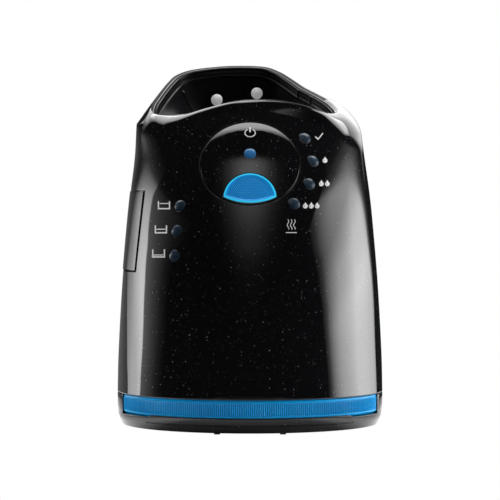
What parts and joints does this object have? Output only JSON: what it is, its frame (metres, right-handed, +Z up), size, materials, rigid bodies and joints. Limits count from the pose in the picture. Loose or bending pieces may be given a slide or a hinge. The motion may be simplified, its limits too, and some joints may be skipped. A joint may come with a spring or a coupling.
{
  "type": "shaver cleaning station",
  "caption": "Free-standing shaver cleaning station with a round start key, sloping shaver well, lifting housing and a fluid cartridge in its base.",
  "frame": {"origin": "centre of the bounding box's underside, on the surface the station stands on", "axes": "+Z up; -Y is the front with the start key; +X to the right as seen from the front"},
  "size_m": [0.1286, 0.12, 0.1774],
  "materials": {
    "shell_gloss": "gloss black with fine light flecks",
    "rear_gloss": "gloss black with fine light flecks",
    "well_gloss": "gloss black",
    "base_gloss": "gloss black with fine light flecks",
    "inner_plastic": "fine moulded grain",
    "light_plastic": "acetal, satin",
    "rubber": "matt",
    "steel": "brushed",
    "bowl_steel": "satin pressed steel",
    "brass": "plated",
    "copper": "lacquered winding",
    "board": "circuit board",
    "cartridge_blue": "ribbed, tinted",
    "cartridge_lid": "satin",
    "pad_blue": "dotted",
    "lamp_blue": "clear lens, lit",
    "lamp_dark": "smoked lens, unlit",
    "contact_metal": "plated contact pin",
    "hose": "silicone"
  },
  "bodies": {
    "base": {"base_tray": "base_gloss", "bottom_cover": "inner_plastic", "front_feet": "rubber", "rear_feet": "rubber", "base_screws": "steel", "rear_column": "inner_plastic", "column_cover": "inner_plastic", "power_board": "board", "transformer": "copper", "power_inlet": "inner_plastic", "inlet_pins": "brass", "guide_rods": "steel", "lift_springs": "steel", "latch_catch": "steel", "cartridge_tub": "cartridge_blue", "cartridge_top": "cartridge_lid", "cartridge_filter": "light_plastic"},
    "housing": {"front_shell": "shell_gloss", "rear_shell": "rear_gloss", "well_collar": "well_gloss", "wash_bowl": "bowl_steel", "bowl_seal": "rubber", "drying_coil": "copper", "drain_spout": "inner_plastic", "main_deck": "inner_plastic", "guide_bushes": "light_plastic", "pump_housing": "inner_plastic", "pump_motor": "steel", "motor_cap": "light_plastic", "suction_tube": "hose", "delivery_hose": "hose", "control_board": "board", "led_set": "light_plastic", "status_lenses": "lamp_dark", "tact_switch": "inner_plastic", "key_carrier": "inner_plastic", "key_hinge_pin": "steel", "release_guide": "inner_plastic", "latch_pivot_pin": "steel", "latch_spring": "steel", "contact_cups": "well_gloss", "contact_leaves": "brass", "deck_screws": "steel"},
    "start_key": {"key_cap": "shell_gloss", "key_pad": "pad_blue", "key_lens": "lamp_blue", "key_rocker": "light_plastic"},
    "release": {"release_button": "rear_gloss", "release_stem": "inner_plastic"},
    "latch": {"latch_lever": "light_plastic"},
    "contact_left": {"contact_pin_left": "contact_metal"},
    "contact_right": {"contact_pin_right": "contact_metal"},
    "pump_rotor": {"pump_shaft": "steel", "pump_impeller": "light_plastic"}
  },
  "joints": [
    {"name": "housing_lift", "type": "slide", "parent": "base", "child": "housing", "axis": [0, 0, 1], "range_m": [0, 0.048], "deforming": ["lift_springs"]},
    {"name": "start_key_press", "type": "hinge", "parent": "housing", "child": "start_key", "pos_m": [0, -0.0165, 0.13941], "axis": [1, 0, 0], "range_deg": [0, 2], "stiffness_Nm_per_rad": 3},
    {"name": "release_press", "type": "slide", "parent": "housing", "child": "release", "axis": [1, 0, 0], "range_m": [0, 0.0025], "stiffness_N_per_m": 800},
    {"name": "latch_turn", "type": "hinge", "parent": "housing", "child": "latch", "pos_m": [-0.04, 0.014, 0.082], "axis": [0, 0, 1], "range_deg": [0, 6.6]},
    {"name": "contact_left_press", "type": "slide", "parent": "housing", "child": "contact_left", "axis": [0, 0.9781, -0.2079], "range_m": [0, 0.0011], "stiffness_N_per_m": 500},
    {"name": "contact_right_press", "type": "slide", "parent": "housing", "child": "contact_right", "axis": [0, 0.9781, -0.2079], "range_m": [0, 0.0011], "stiffness_N_per_m": 500},
    {"name": "pump_spin", "type": "hinge", "parent": "housing", "child": "pump_rotor", "pos_m": [0.034, -0.012, 0.063], "axis": [0, 0, 1], "continuous": true}
  ],
  "couplings": [
    {"joint": "latch_turn", "follows": "release_press", "rad_per_m": 45.45}
  ]
}
